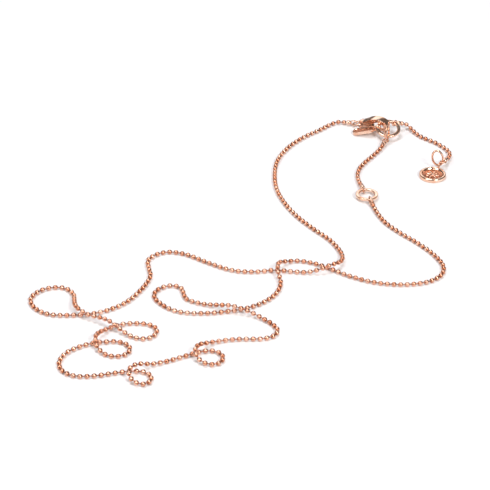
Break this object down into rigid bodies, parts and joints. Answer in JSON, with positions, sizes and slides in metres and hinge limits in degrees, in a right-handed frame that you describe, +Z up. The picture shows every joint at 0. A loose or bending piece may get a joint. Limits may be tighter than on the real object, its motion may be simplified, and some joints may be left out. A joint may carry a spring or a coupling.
{
  "type": "chain necklace",
  "caption": "Fine ball-chain necklace with a lobster clasp, a ring partway along, an end ring, a short extension chain and a round tag, laid fastened on a flat surface.",
  "frame": {"origin": "middle of the outline on the surface that the necklace lies on", "axes": "+Z up; +X to the right; +Y to the back, so the clasp is at the back right"},
  "size_m": [0.136, 0.155, 0.0071],
  "materials": {
    "chain_metal": "rose gold plated, polished",
    "cap_metal": "rose gold plated, polished",
    "ring_metal": "rose gold plated, polished",
    "clasp_metal": "rose gold plated, polished",
    "tag_metal": "rose gold plated, polished, recess finely brushed",
    "spring_metal": "spring wire, bright"
  },
  "bodies": {
    "chain": {"chain_back_corner": "chain_metal", "chain_back_run": "chain_metal", "chain_clasp_sweep": "chain_metal", "chain_front_bend": "chain_metal", "chain_front_curl": "chain_metal", "chain_front_run": "chain_metal", "chain_inner_hook": "chain_metal", "chain_inner_run": "chain_metal", "chain_left_loop": "chain_metal", "chain_left_run": "chain_metal", "chain_lower_curl": "chain_metal", "chain_middle_curl": "chain_metal", "chain_right_bend": "chain_metal", "chain_right_crest": "chain_metal", "chain_upper_curl": "chain_metal", "link_chain": "chain_metal", "cap_clasp_end": "cap_metal", "cap_main_ring_end": "cap_metal", "cap_link_ring_end": "cap_metal", "cap_link_jump_end": "cap_metal"},
    "inline_ring": {"inline_ring": "ring_metal"},
    "clasp_ring": {"clasp_jump_ring": "clasp_metal"},
    "clasp": {"clasp_body": "clasp_metal", "clasp_pin": "clasp_metal", "clasp_spring": "spring_metal"},
    "lever": {"clasp_lever": "clasp_metal"},
    "end_ring": {"end_ring": "ring_metal"},
    "maker_tag": {"maker_tag": "tag_metal"},
    "link_ring": {"link_jump_ring": "ring_metal"},
    "extension": {"extension_chain": "chain_metal", "cap_extension_start": "cap_metal", "cap_tag_end": "cap_metal"},
    "tag_ring": {"tag_jump_ring": "ring_metal"},
    "tag": {"round_tag": "tag_metal"}
  },
  "joints": [
    {"name": "clasp_ring_roll", "type": "hinge", "parent": "chain", "child": "clasp_ring", "pos_m": [0.03581, 0.07607, 0.00127], "axis": [0.863, -0.444, 0.2411], "range_deg": [-5, 0]},
    {"name": "clasp_roll", "type": "hinge", "parent": "clasp_ring", "child": "clasp", "pos_m": [0.03857, 0.07465, 0.00204], "axis": [0.863, -0.444, 0.2411], "range_deg": [-6, 0]},
    {"name": "clasp_lever_open", "type": "hinge", "parent": "clasp", "child": "lever", "pos_m": [0.04182, 0.07321, 0.00128], "axis": [-0.4366, -0.8761, -0.2042], "range_deg": [0, 20], "stiffness_Nm_per_rad": 0.004, "springref_deg": -17.19},
    {"name": "inline_ring_tilt", "type": "hinge", "parent": "chain", "child": "inline_ring", "pos_m": [0.03791, 0.02747, 0.00127], "axis": [-0.2588, 0.9659, 0], "range_deg": [-8, 8]},
    {"name": "end_ring_tilt", "type": "hinge", "parent": "chain", "child": "end_ring", "pos_m": [0.045, 0.07135, 0.00384], "axis": [0.9998, 0.0168, 0.0048], "range_deg": [-18, 0]},
    {"name": "maker_tag_lift", "type": "hinge", "parent": "end_ring", "child": "maker_tag", "pos_m": [0.04381, 0.06896, 0.00315], "axis": [-0.0523, -0.9599, -0.2753], "range_deg": [-30, 0]},
    {"name": "link_ring_turn", "type": "hinge", "parent": "chain", "child": "link_ring", "pos_m": [0.04622, 0.06363, 0.00121], "axis": [0, 0, 1], "range_deg": [-6, 6]},
    {"name": "extension_swing", "type": "hinge", "parent": "chain", "child": "extension", "pos_m": [0.04972, 0.07143, 0.00386], "axis": [0, 0, 1], "range_deg": [-10, 10]},
    {"name": "tag_ring_turn", "type": "hinge", "parent": "extension", "child": "tag_ring", "pos_m": [0.06463, 0.04697, 0.00241], "axis": [0, 0, 1], "range_deg": [0, 20]},
    {"name": "tag_lift", "type": "hinge", "parent": "tag_ring", "child": "tag", "pos_m": [0.0634, 0.04697, 0.00118], "axis": [0.9014, -0.4329, 0], "range_deg": [-40, 0]}
  ]
}
